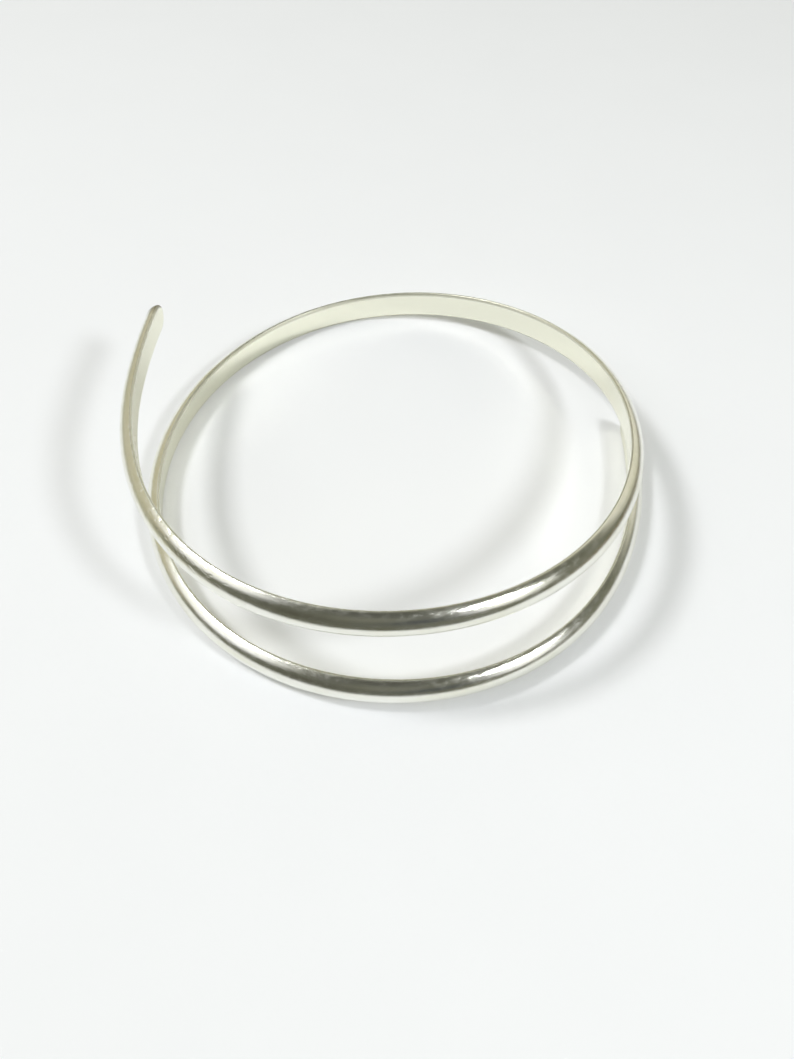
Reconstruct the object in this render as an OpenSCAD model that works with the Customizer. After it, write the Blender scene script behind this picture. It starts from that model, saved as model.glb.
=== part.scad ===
// Wire bangle: one length of half-round wire, flat inside and domed outside, bent by hand
// into an open coil of a little more than one and a half turns, with both ends filed round.
// It lies on its lower turn. The upper turn crosses over the lower end on the right, and the
// raised end springs out on the left.
// Angles run clockwise seen from above: 0 is the right, 90 the front, 180 the left, 270 the
// back, and 360 is the right again, one turn later.

/* [Wire] */
// Height of the flat inner face
wire_h = 3.95; // [3:0.05:4.3]
// Thickness from the flat face to the crown of the dome
wire_t = 1.7; // [1.2:0.05:2]
// Slope of the dome's sides: 1 is a half ellipse, and more brings the crown to a softer point
dome_p = 1.3; // [1:0.1:1.6]
// Radius of the two softened edges beside the flat face
edge_r = 0.2; // [0.1:0.05:0.35]
// Length over which each end is filed round
end_l = 1.6; // [0.8:0.1:3]

/* [Coil] */
// Inner radius of the coil before the differences in the table are added
inner_r = 31; // [27:0.5:36]
// Angle at which the lower end stops, under the upper turn
start_a = -17; // [-20:1:10]
// Angle at which the raised end stops
end_a = 573; // [530:0.5:580]
// Share of the table's lifts that is used, more for a more open coil
lift_k = 1; // [0.7:0.05:1.3]

/* [Smoothness] */
// Degrees between two rings of the sweep
ring_a = 4; // [3:1:9]
// Steps across the dome of each ring
dome_n = 12; // [6:2:16]
// Steps around each softened edge and along each filed end
edge_n = 3; // [2:1:4]

/* [Hidden] */

// Columns of the table below
ANG = 0;
OUT = 1;
LIFT = 2;
LEAN = 3;
// One row every 45 degrees. OUT is how far the row stands out from the inner radius, LIFT is
// how high the lower edge is above the table, and LEAN is how many degrees the crown of the
// dome looks up. The path is a smooth curve that these rows pull on, so the first and last
// rows only set how the two ends leave.
rows = [
  // angle, out, lift, lean
  [-90, 24, 0, 0],
  [-45, 8, 0, 0],
  [0, 0.2, 0, 0],
  [45, 1.2, -0.1, 0],
  [90, -0.4, 0.5, 12],
  [135, -0.7, -0.1, 7],
  [180, -1.1, 0, 5],
  [225, 0, 0, 2],
  [270, 3.2, -0.3, -11],
  [315, 2.3, 3.6, -6],
  [360, -0.7, 9, 4],
  [405, -1.2, 12.6, 5],
  [450, -1.9, 14, 4],
  [495, -0.9, 13.8, 1],
  [540, -1.3, 13, 1],
  [585, 4.9, 12, 1],
  [630, 37, 11, 1]
];
row_a = rows[1][ANG] - rows[0][ANG];
row_rad = row_a * PI / 180;

// Smooth cubic curve pulled by the table: the value, and its slope per radian of turn
function row_at(a) = (a - rows[0][ANG]) / row_a;
function pull(c, i, w) = w[0] * rows[i - 1][c] + w[1] * rows[i][c]
  + w[2] * rows[i + 1][c] + w[3] * rows[i + 2][c];
function value(c, a) = let (i = floor(row_at(a)), t = row_at(a) - i)
  pull(c, i, [pow(1 - t, 3), 3 * pow(t, 3) - 6 * t * t + 4,
    -3 * pow(t, 3) + 3 * t * t + 3 * t + 1, pow(t, 3)]) / 6;
function slope(c, a) = let (i = floor(row_at(a)), t = row_at(a) - i)
  pull(c, i, [-pow(1 - t, 2), 3 * t * t - 4 * t, -3 * t * t + 2 * t + 1, t * t]) / 2 / row_rad;

// Inner radius of the path, and its height at the middle of the wire
function path_r(a) = inner_r + value(OUT, a);
function path_z(a) = lift_k * value(LIFT, a) + wire_h / 2;
// Millimetres of wire in one degree of turn
function reach(a) = norm([path_r(a), slope(OUT, a)]) * PI / 180;

// Directions at an angle: along the wire, level and outwards, and then out through the crown of
// the dome and up along the flat face, both turned by the lean
function unit(v) = v / norm(v);
function along(a) = let (r = path_r(a), s = slope(OUT, a))
  unit([s * cos(a) - r * sin(a), -s * sin(a) - r * cos(a), lift_k * slope(LIFT, a)]);
function level_out(a) = let (t = along(a)) unit([-t[1], t[0], 0]);
function dome_dir(a) = let (o = level_out(a), u = cross(along(a), o), g = value(LEAN, a))
  cos(g) * o + sin(g) * u;
function flat_dir(a) = let (o = level_out(a), u = cross(along(a), o), g = value(LEAN, a))
  cos(g) * u - sin(g) * o;

// Half-round section: the dome goes out by the thickness times a power of the cosine, and up
// by half the height times the sine. Its two corners are softened by arcs that touch both the
// dome and the flat face, and meet the dome at the angle that this halving search finds.
half_h = wire_h / 2;
function dome_at(b) = [wire_t * pow(cos(b), dome_p), half_h * sin(b)];
function dome_n_at(b) = unit([half_h * cos(b), wire_t * dome_p * pow(cos(b), dome_p - 1) * sin(b)]);
function arc_x(b) = dome_at(b)[0] - edge_r * dome_n_at(b)[0];
function meet(lo, hi, n) = let (m = (lo + hi) / 2)
  n == 0 ? m : (arc_x(m) > edge_r ? meet(m, hi, n - 1) : meet(lo, m, n - 1));
meet_b = meet(20, 89.9, 20);
arc_c = dome_at(meet_b) - edge_r * dome_n_at(meet_b);
arc_a = atan2(dome_n_at(meet_b)[1], dome_n_at(meet_b)[0]);
low_edge = [for (k = [0:edge_n]) let (a = 180 + k * (180 - arc_a) / edge_n)
  [arc_c[0] + edge_r * cos(a), -arc_c[1] + edge_r * sin(a)]];
dome = [for (k = [1:dome_n - 1]) dome_at(-meet_b + k * 2 * meet_b / dome_n)];
top_edge = [for (k = [0:edge_n]) let (a = arc_a + k * (180 - arc_a) / edge_n)
  [arc_c[0] + edge_r * cos(a), arc_c[1] + edge_r * sin(a)]];
section = concat(low_edge, dome, top_edge);
count = len(section);

// Rings of the sweep, each with its angle and its size. The rings of a filed end shrink
// like a quarter of an ellipse.
start_da = end_l / reach(start_a);
end_da = end_l / reach(end_a);
first_a = start_a + start_da;
last_a = end_a - end_da;
steps = ceil((last_a - first_a) / ring_a);
file_n = edge_n + 1;
file_step = 80 / file_n;
rings = concat(
  [for (k = [0:file_n - 1]) let (q = 10 + k * file_step) [first_a - start_da * cos(q), sin(q)]],
  [for (k = [0:steps]) [first_a + k * (last_a - first_a) / steps, 1]],
  [for (k = [file_n - 1:-1:0]) let (q = 10 + k * file_step) [last_a + end_da * cos(q), sin(q)]]
);
wire_points = [for (g = rings) let (a = g[0], o = dome_dir(a), u = flat_dir(a),
  c = [path_r(a) * cos(a), -path_r(a) * sin(a), path_z(a)])
  for (p = section) c + g[1] * (p[0] * o + p[1] * u)];

// The part stands in the middle of its own footprint, with its lowest point on the floor
xs = [for (p = wire_points) p[0]];
ys = [for (p = wire_points) p[1]];
zs = [for (p = wire_points) p[2]];
middle = [(min(xs) + max(xs)) / 2, (min(ys) + max(ys)) / 2, min(zs)];

last = len(rings) - 1;
skin = [for (g = [0:last - 1]) for (k = [0:count - 1])
  let (p = g * count + k, q = g * count + (k + 1) % count)
  each [[p, p + count, q + count], [p, q + count, q]]];
caps = [[for (k = [0:count - 1]) k], [for (k = [count - 1:-1:0]) last * count + k]];

module coiled_wire() {
  color([0.80, 0.80, 0.76])
    translate(-middle)
      polyhedron(points = wire_points, faces = concat(skin, caps), convexity = 8);
}

coiled_wire();
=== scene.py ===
"""Wire bangle: one length of half-round silver wire bent into an open coil, lying on pale paper."""
import math

import bpy
import numpy as np
from mathutils import Matrix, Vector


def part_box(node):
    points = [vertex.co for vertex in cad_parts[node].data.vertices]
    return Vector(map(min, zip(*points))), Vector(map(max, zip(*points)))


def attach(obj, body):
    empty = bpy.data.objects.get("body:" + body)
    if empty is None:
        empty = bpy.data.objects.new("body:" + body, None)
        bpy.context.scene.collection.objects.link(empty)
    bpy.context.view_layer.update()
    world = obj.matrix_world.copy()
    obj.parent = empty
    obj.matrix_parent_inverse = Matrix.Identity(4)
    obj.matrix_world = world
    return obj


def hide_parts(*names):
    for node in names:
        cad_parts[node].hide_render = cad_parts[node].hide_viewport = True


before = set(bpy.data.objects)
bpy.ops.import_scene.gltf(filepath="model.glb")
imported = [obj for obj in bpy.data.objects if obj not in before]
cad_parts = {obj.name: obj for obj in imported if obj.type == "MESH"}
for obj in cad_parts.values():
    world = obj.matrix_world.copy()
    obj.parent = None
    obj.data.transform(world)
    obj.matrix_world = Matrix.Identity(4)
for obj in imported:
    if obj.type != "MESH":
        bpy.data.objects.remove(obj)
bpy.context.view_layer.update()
MM = 0.001

# Wire: height and thickness of the half-round section, slope of the dome's sides, softened edges,
# and filed ends, in millimetres
wire_h = 3.95
wire_t = 1.7
dome_p = 1.3
edge_r = 0.2
end_l = 1.6
# Coil: inner radius before the table, and the angles of the lower and the raised end. Angles run
# clockwise seen from above: 0 is the right, 90 the front, 180 the left and 270 the back.
inner_r = 31.0
start_a = -17.0
end_a = 573.0
# The table that the path follows, one row every 45 degrees: how far it stands out from the inner
# radius, how high its lower edge is, and how many degrees the crown of the dome looks up
ANG, OUT, LIFT, LEAN = 0, 1, 2, 3
rows = np.array([
    # angle, out, lift, lean
    (-90, 24, 0, 0),
    (-45, 8, 0, 0),
    (0, 0.2, 0, 0),
    (45, 1.2, -0.1, 0),
    (90, -0.4, 0.5, 12),
    (135, -0.7, -0.1, 7),
    (180, -1.1, 0, 5),
    (225, 0, 0, 2),
    (270, 3.2, -0.3, -11),
    (315, 2.3, 3.6, -6),
    (360, -0.7, 9, 4),
    (405, -1.2, 12.6, 5),
    (450, -1.9, 14, 4),
    (495, -0.9, 13.8, 1),
    (540, -1.3, 13, 1),
    (585, 4.9, 12, 1),
    (630, 37, 11, 1),
], float)

# Fineness of the mesh: points on each softened edge, on the dome and on the flat face, and rings
# between the filed ends and on each of them
edge_points, dome_points, flat_points = 6, 34, 8
wire_rings, end_rings = 820, 10

# Silver: clean, under the warm film, on the flat face, on the edges as painted shade, and on the
# raised tip. The amounts are how far each colour covers the one before it, and the sizes are in
# millimetres.
clean_silver = (0.91, 0.91, 0.85)
film_colour = (0.80, 0.795, 0.66)
film_amount = 0.6
flat_colour = (0.92, 0.915, 0.775)
# Painted shade: olive tone laid along both edges of the wire
edge_shade_colour = (0.62, 0.61, 0.49)
edge_shade_amount = 0.75
edge_width = 0.4
tip_colour = (0.30, 0.28, 0.22)
tip_amount = 0.85
tip_length = 3.2
# Roughness where the polish is best and where it is dull, and what the edges add to it
rough_bright = 0.15
rough_dull = 0.24
rough_edge = 0.22
# Relief of the polish: its strength, its height in metres, how deep the nicks are beside the drawn
# lines, and between which shares of the wire's length they lie
relief_strength = 0.5
relief_height = 0.000012
nick_depth = 2.6
nicks_from = 0.835
nicks_to = 0.955

# Paper: its two tones, and half the width of the sheet in metres
paper_dark = (0.855, 0.865, 0.89)
paper_light = (0.875, 0.885, 0.91)
sheet_half = 0.65

# Cards around the coil: name, left, front, right, back, tone, in metres, and how high they lie
cards = [
    ("Front_card", -1.2, -1.4, 1.2, -0.07, (0.13, 0.13, 0.105)),
    ("Right_card", 0.085, -0.07, 1.2, 1.2, (0.20, 0.17, 0.11)),
    ("Left_card", -1.2, -0.07, -0.085, 1.2, (0.48, 0.46, 0.37)),
]
card_lift = 0.0005

# Lamps: name, azimuth, elevation, distance and width in metres, watts, colour, and whether the
# wire mirrors the lamp. Azimuth 0 is the right and -90 the viewer's side.
lamps = [
    ("Left soft box", 174.3, 57.6, 0.477, 0.085, 0.80, (1.0, 1.0, 1.0), True),
    ("Right soft box", -36.6, 44.6, 0.432, 0.075, 0.60, (0.97, 0.99, 1.0), True),
    ("Overhead fill", -150, 68, 2.5, 3.0, 12.7, (0.94, 0.98, 1.0), False),
]

# Room: plain tone, what the camera sees past the paper, and soft patches over the plain tone:
# azimuth, elevation, angle of the full tone, angle where it ends, tone
room_tone = (0.17, 0.17, 0.13)
backdrop_tone = (0.88, 0.89, 0.88)
room_patches = [
    (0, 90, 10, 35, (0.19, 0.19, 0.15)),
    (52, 25, 18, 44, (0.75, 0.73, 0.61)),
    (145, 22, 24, 44, (0.54, 0.51, 0.38)),
    (125, 62, 12, 28, (0.74, 0.77, 0.71)),
    (85, 68, 8, 24, (0.24, 0.24, 0.19)),
    (5, 42, 8, 24, (0.13, 0.13, 0.10)),
    (-105, 45, 32, 58, (0.125, 0.127, 0.105)),
    (-90, 73, 8, 20, (0.09, 0.09, 0.075)),
    (-75, 26, 5, 15, (0.075, 0.08, 0.08)),
    (-122, 20, 5, 16, (0.095, 0.092, 0.07)),
    (-94, 42, 5, 16, (0.17, 0.17, 0.135)),
    (-171, 43, 15, 25, (1.1, 1.1, 1.1)),
    (-38, 28, 9, 18, (1.1, 1.1, 1.1)),
]

# Camera: place over the floor in millimetres, angle down, turn about its own axis, the focal
# length of a picture 1059 pixels high, and the height of the sensor in millimetres
camera_place = (0.33, -77.24, 99.58)
camera_down = 55.33
camera_roll = -0.60
camera_focal_px = 916.7
picture_h_px = 1059
sensor_h = 36


def spline(column, angle, order=0):
    """Uniform cubic B-spline through the table: the value, or its slope per radian. Four rows are
    weighted with the cubic blending polynomials of the share t of the way between two rows, or
    with those polynomials' derivatives."""
    step = rows[1, ANG] - rows[0, ANG]
    place = (angle - rows[0, ANG]) / step
    first = np.clip(np.floor(place).astype(int), 1, len(rows) - 3)
    t = place - first
    weights = (
        (
            (1 - t) ** 3 / 6,
            (3 * t**3 - 6 * t**2 + 4) / 6,
            (-3 * t**3 + 3 * t**2 + 3 * t + 1) / 6,
            t**3 / 6,
        ),
        (
            -((1 - t) ** 2) / 2,
            (3 * t**2 - 4 * t) / 2,
            (-3 * t**2 + 2 * t + 1) / 2,
            t**2 / 2,
        ),
    )[order]
    total = sum(w * rows[first + k - 1, column] for k, w in enumerate(weights))
    return total / math.radians(step) ** order


def unit(v):
    """Each vector over its own length."""
    return v / np.linalg.norm(v, axis=-1, keepdims=True)


def wire_frames(angle):
    """Path of the middle of the flat face, with the crownward and upward directions of the section.
    The point is (r cos a, -r sin a, lift + half the height). Outward is level and square to the
    wire, upward is square to both, and the section turns between them by the lean."""
    a = np.radians(angle)
    r, r1 = inner_r + spline(OUT, angle), spline(OUT, angle, 1)
    z, z1 = spline(LIFT, angle) + wire_h / 2, spline(LIFT, angle, 1)
    middle = np.stack([r * np.cos(a), -r * np.sin(a), z], -1)
    along = unit(np.stack([
        r1 * np.cos(a) - r * np.sin(a),
        -r1 * np.sin(a) - r * np.cos(a),
        z1,
    ], -1))
    level = unit(np.stack([-along[..., 1], along[..., 0], 0 * z], -1))
    rise = np.cross(along, level)
    lean = np.radians(spline(LEAN, angle))[..., None]
    crownward = np.cos(lean) * level + np.sin(lean) * rise
    upward = np.cos(lean) * rise - np.sin(lean) * level
    return middle, crownward, upward


def dome_side(b):
    """Point and normal of the dome: the thickness times a power of the cosine, outwards, and half
    the height times the sine, upwards. The power brings the crown to a softer point."""
    point = np.stack([wire_t * np.cos(b) ** dome_p, wire_h / 2 * np.sin(b)], -1)
    normal = np.stack([
        wire_h / 2 * np.cos(b),
        wire_t * dome_p * np.cos(b) ** (dome_p - 1) * np.sin(b),
    ], -1)
    return point, unit(normal)


def half_round():
    """Closed outline of the section, outward against upward, from the bottom of the flat face.
    A turn of the edge radius, the dome, the other edge, and the flat face back down. The edges
    meet the dome where a circle of the edge radius touches both it and the flat face."""
    b = np.radians(np.linspace(20, 89.9, 4000))
    point, normal = dome_side(b)
    k = int(np.argmin(np.abs(point[:, 0] - edge_r * normal[:, 0] - edge_r)))
    centre = point[k] - edge_r * normal[k]
    q = np.linspace(math.atan2(normal[k, 1], normal[k, 0]), math.pi, edge_points)
    upper = centre + edge_r * np.stack([np.cos(q), np.sin(q)], -1)
    lower = upper[::-1] * (1, -1)
    dome = dome_side(np.linspace(-b[k], b[k], dome_points + 2)[1:-1])[0]
    y = np.linspace(upper[-1, 1], lower[0, 1], flat_points + 2)[1:-1]
    return np.concatenate([lower, dome, upper, np.stack([0 * y, y], -1)])


def reach(angle):
    """Millimetres of wire in one degree of turn: the length of the radius and its slope, which
    are per radian, over the degrees in a radian."""
    angle = np.array(angle)
    radius, slope = inner_r + spline(OUT, angle), spline(OUT, angle, 1)
    return float(np.hypot(radius, slope)) * math.pi / 180


def ring_places():
    """Angle and size of each ring. Between the filed ends the rings are evenly spaced and full
    size. Along an end the size is the sine, and the place the cosine, of a quarter turn from 5
    degrees on, which rounds the end like a quarter ellipse."""
    first, last = start_a + end_l / reach(start_a), end_a - end_l / reach(end_a)
    q = np.radians(np.linspace(5, 90, end_rings, endpoint=False))
    angle = np.concatenate([
        first - (first - start_a) * np.cos(q),
        np.linspace(first, last, wire_rings),
        last + (end_a - last) * np.cos(q[::-1]),
    ])
    return angle, np.concatenate([np.sin(q), np.ones(wire_rings), np.sin(q[::-1])])


def wire_surface(angle, size, outline):
    """Half-round outline carried along the coil: middle + size x (outward x out + upward x up)."""
    middle, outward, upward = wire_frames(angle)
    out, up = outline[:, 0, None], outline[:, 1, None]
    return middle[:, None] + size[:, None, None] * (outward[:, None] * out + upward[:, None] * up)


def running_length(points):
    """Distance of each point from the first, along the line that the points make."""
    return np.concatenate([[0], np.cumsum(np.linalg.norm(np.diff(points, axis=0), axis=1))])


def closed_tube(name, grid, along_mm, around_mm):
    """Mesh of a grid that closes on itself around, with a point in the middle of each end.
    The UV map holds millimetres along the wire, and around it from the lower edge."""
    n, m = grid.shape[:2]
    verts = np.concatenate([grid.reshape(-1, 3), grid[0].mean(0)[None], grid[-1].mean(0)[None]])
    i, j = np.meshgrid(np.arange(n - 1), np.arange(m), indexing="ij")
    k = (j + 1) % m
    quads = np.stack([i * m + j, i * m + k, (i + 1) * m + k, (i + 1) * m + j], -1)
    u = along_mm[np.stack([i, i, i + 1, i + 1], -1)].reshape(-1)
    v = around_mm[np.stack([j, j + 1, j + 1, j], -1)].reshape(-1)
    j1 = np.arange(m)
    k1 = (j1 + 1) % m
    low_cap = np.stack([k1, j1, np.full(m, n * m)], -1)
    high_cap = np.stack([(n - 1) * m + j1, (n - 1) * m + k1, np.full(m, n * m + 1)], -1)
    here, there = around_mm[j1], around_mm[j1 + 1]
    cap_v = np.concatenate([
        np.stack([there, here, (here + there) / 2], -1),
        np.stack([here, there, (here + there) / 2], -1),
    ]).reshape(-1)
    cap_u = np.repeat([along_mm[0], along_mm[-1]], 3 * m)
    corners = np.concatenate([quads.ravel(), low_cap.ravel(), high_cap.ravel()])
    sizes = np.concatenate([np.full(quads.size // 4, 4), np.full(2 * m, 3)])
    starts = np.concatenate([[0], np.cumsum(sizes)[:-1]])
    uv = np.stack([np.concatenate([u, cap_u]), np.concatenate([v, cap_v])], -1)
    mesh = bpy.data.meshes.new(name)
    mesh.vertices.add(len(verts))
    mesh.vertices.foreach_set("co", verts.astype(np.float32).ravel())
    mesh.loops.add(len(corners))
    mesh.loops.foreach_set("vertex_index", corners.astype(np.int32))
    mesh.polygons.add(len(sizes))
    mesh.polygons.foreach_set("loop_start", starts.astype(np.int32))
    mesh.polygons.foreach_set("loop_total", sizes.astype(np.int32))
    mesh.polygons.foreach_set("use_smooth", np.ones(len(sizes), bool))
    layer = mesh.uv_layers.new(name="WireMM")
    layer.data.foreach_set("uv", uv.astype(np.float32).ravel())
    mesh.update()
    mesh.validate()
    piece = bpy.data.objects.new(name, mesh)
    bpy.context.scene.collection.objects.link(piece)
    return piece


def link_value(tree, value, socket):
    """Joins an output to a socket, or sets the socket to a plain value."""
    if isinstance(value, bpy.types.NodeSocket):
        tree.links.new(value, socket)
    elif value is not None:
        socket.default_value = value


def math_node(tree, operation, a, b=None):
    """Output of a Math node with one or two inputs."""
    node = tree.nodes.new("ShaderNodeMath")
    node.operation = operation
    for socket, value in zip(node.inputs, (a, b)):
        link_value(tree, value, socket)
    return node.outputs[0]


def mix_colours(tree, factor, a, b):
    """Colour a mixed towards colour b. A Mix node's colours are its seventh and eighth input."""
    node = tree.nodes.new("ShaderNodeMix")
    node.data_type = "RGBA"
    link_value(tree, factor, node.inputs[0])
    link_value(tree, a, node.inputs[6])
    link_value(tree, b, node.inputs[7])
    return node.outputs[2]


def map_range(tree, value, low, high, to_low, to_high):
    """The value eased from one range to another, and held at the ends."""
    node = tree.nodes.new("ShaderNodeMapRange")
    node.interpolation_type = "SMOOTHSTEP"
    for socket, v in zip(node.inputs, (value, low, high, to_low, to_high)):
        link_value(tree, v, socket)
    return node.outputs[0]


def stretched_noise(tree, uv, along, around, detail, rough, shift):
    """Noise with this many grains per millimetre along and around the wire. The shift only sets
    it apart from the other noises."""
    place = tree.nodes.new("ShaderNodeMapping")
    tree.links.new(uv, place.inputs["Vector"])
    place.inputs["Scale"].default_value = (along, around, 1)
    place.inputs["Location"].default_value = (shift, shift * 1.7, 0)
    noise = tree.nodes.new("ShaderNodeTexNoise")
    noise.noise_dimensions = "2D"
    tree.links.new(place.outputs[0], noise.inputs["Vector"])
    noise.inputs["Scale"].default_value = 1
    noise.inputs["Detail"].default_value = detail
    noise.inputs["Roughness"].default_value = rough
    return noise.outputs["Fac"]


def along_and_around(tree, uv):
    """Millimetres along and around the wire, each on its own."""
    apart = tree.nodes.new("ShaderNodeSeparateXYZ")
    tree.links.new(uv, apart.inputs[0])
    return apart.outputs[0], apart.outputs[1]


def new_group(name, ins, outs):
    """Empty shader node group with named sockets, each given as name, kind and value."""
    tree = bpy.data.node_groups.new(name, "ShaderNodeTree")
    for title, kind, value in ins:
        socket = tree.interface.new_socket(name=title, in_out="INPUT", socket_type=kind)
        if value is not None:
            socket.default_value = value
    for title, kind in outs:
        tree.interface.new_socket(name=title, in_out="OUTPUT", socket_type=kind)
    return tree, tree.nodes.new("NodeGroupInput"), tree.nodes.new("NodeGroupOutput")


def use_group(tree, group, values):
    """Node that holds a group, with its inputs joined or set by name."""
    node = tree.nodes.new("ShaderNodeGroup")
    node.node_tree = group
    for title, value in values.items():
        link_value(tree, value, node.inputs[title])
    return node


def drawn_lines_group():
    """Fine lines left by drawing and polishing the wire, and shallow nicks on one stretch of it: a
    height from stretched noises, and a mask of the duller clouds. The nicks are where their noise
    is high, and they fade in and out along the wire."""
    nick_fade_mm = 8.0
    tree, given, out = new_group(
        "Drawn lines",
        [
            ("Wire place", "NodeSocketVector", None),
            ("Fine", "NodeSocketFloat", 1.0),
            ("Broad", "NodeSocketFloat", 1.0),
            ("Nicks", "NodeSocketFloat", 4.0),
            ("Nicks from", "NodeSocketFloat", 0.0),
            ("Nicks to", "NodeSocketFloat", 100.0),
        ],
        [("Height", "NodeSocketFloat"), ("Dullness", "NodeSocketFloat")],
    )
    uv = given.outputs["Wire place"]
    fine = stretched_noise(tree, uv, along=0.45, around=22, detail=3, rough=0.6, shift=3.1)
    broad = stretched_noise(tree, uv, along=0.16, around=2.2, detail=2, rough=0.5, shift=7.7)
    clouds = stretched_noise(tree, uv, along=0.9, around=1.6, detail=4, rough=0.65, shift=1.3)
    nicks = stretched_noise(tree, uv, along=1.0, around=1.7, detail=2, rough=0.6, shift=5.9)
    fine = math_node(tree, "MULTIPLY", fine, given.outputs["Fine"])
    broad = math_node(tree, "MULTIPLY", broad, given.outputs["Broad"])
    along, _ = along_and_around(tree, uv)
    since = math_node(tree, "SUBTRACT", along, given.outputs["Nicks from"])
    until = math_node(tree, "SUBTRACT", given.outputs["Nicks to"], along)
    inside = math_node(tree, "MINIMUM", since, until)
    stretch = map_range(tree, inside, 0.0, nick_fade_mm, 0.0, 1.0)
    nicks = map_range(tree, nicks, 0.52, 0.72, 0.0, 1.0)
    nicks = math_node(tree, "MULTIPLY", nicks, stretch)
    nicks = math_node(tree, "MULTIPLY", nicks, given.outputs["Nicks"])
    height = math_node(tree, "SUBTRACT", math_node(tree, "ADD", fine, broad), nicks)
    tree.links.new(height, out.inputs["Height"])
    tree.links.new(map_range(tree, clouds, 0.35, 0.7, 0.0, 1.0), out.inputs["Dullness"])
    return tree


def warm_film_group():
    """Thin tarnish in cloudy patches: the clean colour mixed towards the film's."""
    tree, given, out = new_group(
        "Warm film",
        [
            ("Wire place", "NodeSocketVector", None),
            ("Clean", "NodeSocketColor", (0.9, 0.88, 0.82, 1)),
            ("Film", "NodeSocketColor", (0.7, 0.66, 0.52, 1)),
            ("Amount", "NodeSocketFloat", 0.5),
        ],
        [("Colour", "NodeSocketColor")],
    )
    uv = given.outputs["Wire place"]
    patches = stretched_noise(tree, uv, along=0.12, around=0.5, detail=4, rough=0.6, shift=11.3)
    mask = map_range(tree, patches, 0.35, 0.75, 0.0, 1.0)
    mask = math_node(tree, "MULTIPLY", mask, given.outputs["Amount"])
    colour = mix_colours(tree, mask, given.outputs["Clean"], given.outputs["Film"])
    tree.links.new(colour, out.inputs["Colour"])
    return tree


def wire_zones_group():
    """Masks of three zones of the wire, from millimetres along and around it: its two edges, where
    the distance around to the nearer edge is small; the flat face, past the upper edge; and the
    raised tip, where little of the length is left."""
    tree, given, out = new_group(
        "Wire zones",
        [
            ("Wire place", "NodeSocketVector", None),
            ("Lower edge", "NodeSocketFloat", 0.2),
            ("Upper edge", "NodeSocketFloat", 5.0),
            ("Edge width", "NodeSocketFloat", 0.5),
            ("Length", "NodeSocketFloat", 320.0),
            ("Tip length", "NodeSocketFloat", 4.0),
        ],
        [
            ("Edges", "NodeSocketFloat"),
            ("Flat face", "NodeSocketFloat"),
            ("Tip", "NodeSocketFloat"),
        ],
    )
    along, around = along_and_around(tree, given.outputs["Wire place"])
    from_lower = math_node(tree, "SUBTRACT", around, given.outputs["Lower edge"])
    from_upper = math_node(tree, "SUBTRACT", around, given.outputs["Upper edge"])
    near = math_node(
        tree,
        "MINIMUM",
        math_node(tree, "ABSOLUTE", from_lower),
        math_node(tree, "ABSOLUTE", from_upper),
    )
    near = math_node(tree, "DIVIDE", near, given.outputs["Edge width"])
    tree.links.new(map_range(tree, near, 0.4, 1.0, 1.0, 0.0), out.inputs["Edges"])
    tree.links.new(map_range(tree, from_upper, 0.1, 0.5, 0.0, 1.0), out.inputs["Flat face"])
    left = math_node(tree, "SUBTRACT", given.outputs["Length"], along)
    left = math_node(tree, "DIVIDE", left, given.outputs["Tip length"])
    tree.links.new(map_range(tree, left, 0.3, 1.0, 1.0, 0.0), out.inputs["Tip"])
    return tree


def new_material(name):
    """Material with a Principled shader: the material, its tree and the shader."""
    material = bpy.data.materials.new(name)
    material.use_nodes = True
    return material, material.node_tree, material.node_tree.nodes["Principled BSDF"]


def silver_material(lower_edge, upper_edge, length):
    """Polished silver wire with drawn lines, a thin warm film, a yellower flat face, duller edges
    that are darkened with painted shade, and a dark raised tip. The edges' places and the length
    are in millimetres."""
    material, tree, shader = new_material("Polished silver wire")
    shader.inputs["Metallic"].default_value = 1.0
    uv = tree.nodes.new("ShaderNodeUVMap")
    uv.uv_map = "WireMM"
    film = use_group(tree, warm_film_group(), {
        "Wire place": uv.outputs[0],
        "Clean": (*clean_silver, 1),
        "Film": (*film_colour, 1),
        "Amount": film_amount,
    })
    zones = use_group(tree, wire_zones_group(), {
        "Wire place": uv.outputs[0],
        "Lower edge": lower_edge,
        "Upper edge": upper_edge,
        "Edge width": edge_width,
        "Length": length,
        "Tip length": tip_length,
    })
    edges, flat = zones.outputs["Edges"], zones.outputs["Flat face"]
    domed = math_node(tree, "SUBTRACT", 1.0, flat)
    colour = mix_colours(tree, flat, film.outputs["Colour"], (*flat_colour, 1))
    # Painted shade: the edges are darkened towards olive, for the dark lines that the rounded edges
    # show
    edge_shade = math_node(tree, "MULTIPLY", edges, edge_shade_amount)
    colour = mix_colours(tree, edge_shade, colour, (*edge_shade_colour, 1))
    tip = math_node(tree, "MULTIPLY", zones.outputs["Tip"], domed)
    tip = math_node(tree, "MULTIPLY", tip, tip_amount)
    colour = mix_colours(tree, tip, colour, (*tip_colour, 1))
    tree.links.new(colour, shader.inputs["Base Color"])
    lines = use_group(tree, drawn_lines_group(), {
        "Wire place": uv.outputs[0],
        "Nicks": math_node(tree, "MULTIPLY", domed, nick_depth),
        "Nicks from": nicks_from * length,
        "Nicks to": nicks_to * length,
    })
    rough = map_range(tree, lines.outputs["Dullness"], 0.0, 1.0, rough_bright, rough_dull)
    rough = math_node(tree, "ADD", rough, math_node(tree, "MULTIPLY", edges, rough_edge))
    tree.links.new(rough, shader.inputs["Roughness"])
    bump = tree.nodes.new("ShaderNodeBump")
    bump.inputs["Strength"].default_value = relief_strength
    bump.inputs["Distance"].default_value = relief_height
    tree.links.new(lines.outputs["Height"], bump.inputs["Height"])
    tree.links.new(bump.outputs["Normal"], shader.inputs["Normal"])
    return material


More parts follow.
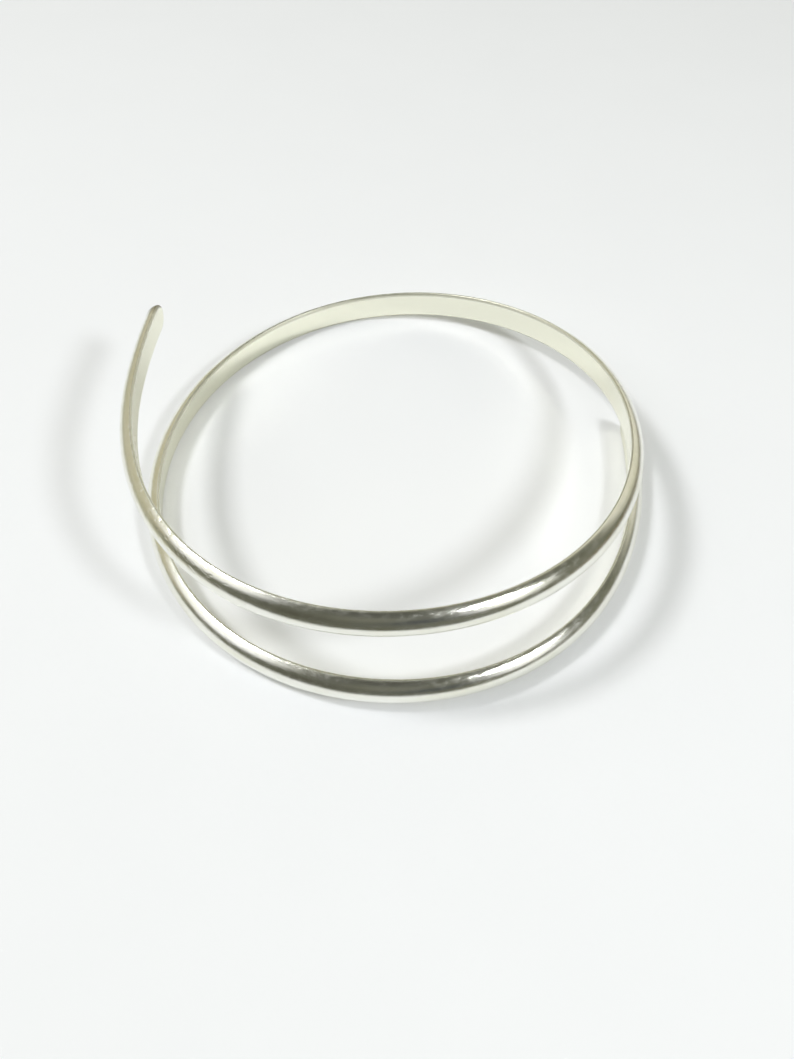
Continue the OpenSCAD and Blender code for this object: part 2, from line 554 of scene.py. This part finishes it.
def paper_material():
    """Pale matt paper with a very faint mottle."""
    material, tree, shader = new_material("Pale paper")
    place = tree.nodes.new("ShaderNodeTexCoord")
    noise = tree.nodes.new("ShaderNodeTexNoise")
    noise.inputs["Scale"].default_value = 60
    noise.inputs["Detail"].default_value = 3
    tree.links.new(place.outputs["Object"], noise.inputs["Vector"])
    colour = mix_colours(tree, noise.outputs["Fac"], (*paper_dark, 1), (*paper_light, 1))
    tree.links.new(colour, shader.inputs["Base Color"])
    shader.inputs["Roughness"].default_value = 0.9
    shader.inputs["Specular IOR Level"].default_value = 0.1
    return material


def direction(azimuth, elevation):
    """Unit vector. Azimuth 0 is +X and -90 the viewer's side; elevation is above the floor."""
    a, e = math.radians(azimuth), math.radians(elevation)
    return np.array([math.cos(e) * math.cos(a), math.cos(e) * math.sin(a), math.sin(e)])


def soft_light(name, azimuth, elevation, distance, width, watts, colour, mirrored):
    """Round soft box that looks at the bangle. A fill light is not mirrored in the wire."""
    data = bpy.data.lights.new(name, "AREA")
    data.shape = "ELLIPSE"
    data.size = data.size_y = width
    data.energy = watts
    data.color = colour
    lamp = bpy.data.objects.new(name, data)
    back = direction(azimuth, elevation)
    side = unit(np.cross((0, 0, 1), back))
    up = np.cross(back, side)
    turn = np.eye(4)
    turn[:3, 0], turn[:3, 1], turn[:3, 2], turn[:3, 3] = side, up, back, back * distance
    lamp.matrix_world = Matrix(turn.tolist())
    lamp.visible_camera = False
    lamp.visible_glossy = mirrored
    bpy.context.scene.collection.objects.link(lamp)


def studio_world():
    """Dim room that the polished wire mirrors: soft round patches laid over a plain tone, each by
    the angle between the looked-at direction and the middle of the patch. What the camera sees
    past the paper is plain and pale."""
    world = bpy.data.worlds.new("Studio")
    bpy.context.scene.world = world
    world.use_nodes = True
    tree = world.node_tree
    background = tree.nodes["Background"]
    place = tree.nodes.new("ShaderNodeTexCoord").outputs["Generated"]
    colour = (*room_tone, 1)
    for azimuth, elevation, inner, outer, tone in room_patches:
        dot = tree.nodes.new("ShaderNodeVectorMath")
        dot.operation = "DOT_PRODUCT"
        tree.links.new(place, dot.inputs[0])
        dot.inputs[1].default_value = direction(azimuth, elevation)
        far, full = math.cos(math.radians(outer)), math.cos(math.radians(inner))
        near = map_range(tree, dot.outputs["Value"], far, full, 0.0, 1.0)
        colour = mix_colours(tree, near, colour, (*tone, 1))
    path = tree.nodes.new("ShaderNodeLightPath")
    seen = mix_colours(tree, path.outputs["Is Camera Ray"], colour, (*backdrop_tone, 1))
    tree.links.new(seen, background.inputs["Color"])


def photo_camera():
    """Camera at the photograph's place and angle, with its field of view."""
    data = bpy.data.cameras.new("Camera")
    data.sensor_fit = "VERTICAL"
    data.sensor_height = sensor_h
    data.lens = camera_focal_px / picture_h_px * sensor_h
    data.clip_start = 0.005
    data.clip_end = 20
    camera = bpy.data.objects.new("Camera", data)
    down, roll = math.radians(camera_down), math.radians(camera_roll)
    ahead = np.array([0, math.cos(down), -math.sin(down)])
    right, up = np.array([1.0, 0, 0]), np.array([0, math.sin(down), math.cos(down)])
    turn = np.eye(4)
    turn[:3, 0] = math.cos(roll) * right + math.sin(roll) * up
    turn[:3, 1] = -math.sin(roll) * right + math.cos(roll) * up
    turn[:3, 2] = -ahead
    turn[:3, 3] = np.array(camera_place) * MM
    camera.matrix_world = Matrix(turn.tolist())
    bpy.context.scene.collection.objects.link(camera)
    bpy.context.scene.camera = camera


def flat_sheet(name, left, front, right, back, material):
    """Level rectangle of one face, at the floor's height."""
    corners = [(left, front, 0), (right, front, 0), (right, back, 0), (left, back, 0)]
    mesh = bpy.data.meshes.new(name)
    mesh.from_pydata(corners, [], [(0, 1, 2, 3)])
    mesh.materials.append(material)
    sheet = bpy.data.objects.new(name, mesh)
    bpy.context.scene.collection.objects.link(sheet)
    return sheet


def floor():
    """Square sheet of paper with its top at the floor's height."""
    half = sheet_half
    flat_sheet("Paper_floor", -half, -half, half, half, paper_material())


def lay_cards():
    """Dark cards around the coil. Only the wire mirrors them, so the pale paper that the polished
    dome shows ends a few centimetres from the coil, as it does in the photograph."""
    for name, left, front, right, back, tone in cards:
        material, _, shader = new_material(name)
        shader.inputs["Base Color"].default_value = (*tone, 1)
        shader.inputs["Roughness"].default_value = 1.0
        shader.inputs["Specular IOR Level"].default_value = 0.0
        card = flat_sheet(name, left, front, right, back, material)
        card.location.z = card_lift
        card.visible_camera = card.visible_diffuse = card.visible_shadow = False


def foot(low, high):
    """Middle of a box's footprint, at the box's lowest height."""
    return np.array([(low[0] + high[0]) / 2, (low[1] + high[1]) / 2, low[2]])


def coiled_wire():
    """The wire of the bangle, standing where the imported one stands."""
    outline = half_round()
    angle, size = ring_places()
    grid = wire_surface(angle, size, outline)
    own_foot = foot(grid.min((0, 1)), grid.max((0, 1)))
    grid = (grid - own_foot) * MM + foot(*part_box("coiled_wire"))
    along = running_length(wire_frames(angle)[0])
    around = running_length(np.concatenate([outline, outline[:1]]))
    wire = closed_tube("silver_wire", grid, along, around)
    lower_edge = around[edge_points // 2]
    dome_end = edge_points + dome_points
    upper_edge = (around[dome_end] + around[dome_end + edge_points]) / 2
    wire.data.materials.append(silver_material(lower_edge, upper_edge, along[-1]))
    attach(wire, "root")
    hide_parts("coiled_wire")


bpy.context.scene.view_settings.view_transform = "Standard"
photo_camera()
floor()
lay_cards()
coiled_wire()
for lamp in lamps:
    soft_light(*lamp)
studio_world()
# Without this the bright marks that the wire throws on the paper are lost
bpy.context.scene.cycles.blur_glossy = 0
